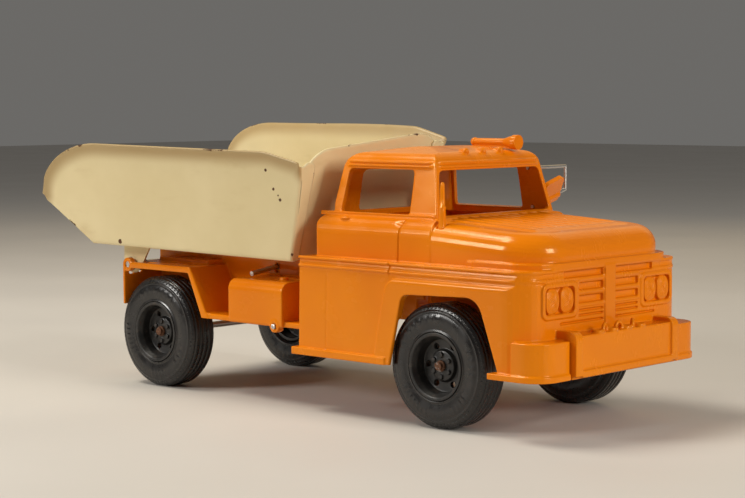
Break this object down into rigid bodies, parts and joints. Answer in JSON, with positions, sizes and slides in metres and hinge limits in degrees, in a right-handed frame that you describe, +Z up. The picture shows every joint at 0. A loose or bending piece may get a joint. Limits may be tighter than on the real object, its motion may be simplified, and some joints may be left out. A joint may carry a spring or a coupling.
{
  "type": "toy dump truck",
  "caption": "Toy dump truck with a moulded plastic cab and chassis, a tipping sheet steel bed worked by a wire lever, and freely rolling wheels.",
  "frame": {"origin": "on the ground plane, at the middle of the truck's length and width", "axes": "+X towards the truck's front bumper, +Y towards its left (driver's) side, +Z up"},
  "size_m": [0.3154, 0.1319, 0.1309],
  "materials": {
    "orange_plastic": "gloss",
    "cream_paint": "satin",
    "bare_steel": "dull",
    "rusty_steel": "rusty",
    "tyre_rubber": "satin",
    "black_plastic": "satin"
  },
  "bodies": {
    "truck": {"cab_shell": "orange_plastic", "chassis_frame": "orange_plastic", "antenna_post": "orange_plastic", "air_horn": "orange_plastic", "mirror_wire": "bare_steel", "cab_screws": "bare_steel", "lug_rivets": "bare_steel", "bed_hinge_pin": "bare_steel", "hinge_pin_caps": "bare_steel"},
    "bed": {"bed_tub": "cream_paint", "bed_front_wall": "cream_paint", "bed_hinge_bracket": "cream_paint"},
    "lever": {"dump_lever": "bare_steel"},
    "mirror": {"mirror_plate": "orange_plastic"},
    "front_wheelset": {"front_axle": "bare_steel", "front_axle_caps": "rusty_steel", "tyre_front_right": "tyre_rubber", "tyre_front_left": "tyre_rubber", "hub_front_right": "black_plastic", "hub_front_left": "black_plastic"},
    "rear_wheelset": {"rear_axle": "bare_steel", "rear_axle_caps": "rusty_steel", "tyre_rear_right": "tyre_rubber", "tyre_rear_left": "tyre_rubber", "hub_rear_right": "black_plastic", "hub_rear_left": "black_plastic"}
  },
  "joints": [
    {"name": "bed_dump", "type": "hinge", "parent": "truck", "child": "bed", "pos_m": [-0.1082, 0, 0.0586], "axis": [0, -1, 0], "range_deg": [0, 34]},
    {"name": "lever_turn", "type": "hinge", "parent": "truck", "child": "lever", "pos_m": [-0.0262, 0, 0.0606], "axis": [0, 1, 0], "range_deg": [0, 20.4]},
    {"name": "mirror_swivel", "type": "hinge", "parent": "truck", "child": "mirror", "pos_m": [0.0758, 0.0634, 0.0975], "axis": [0, 0.9613, 0.2756], "range_deg": [-30, 30]},
    {"name": "front_roll", "type": "hinge", "parent": "truck", "child": "front_wheelset", "pos_m": [0.0958, 0, 0.027], "axis": [0, 1, 0], "continuous": true},
    {"name": "rear_roll", "type": "hinge", "parent": "truck", "child": "rear_wheelset", "pos_m": [-0.0852, 0, 0.027], "axis": [0, 1, 0], "continuous": true}
  ],
  "couplings": [
    {"joint": "lever_turn", "follows": "bed_dump", "ratio": 0.6}
  ]
}
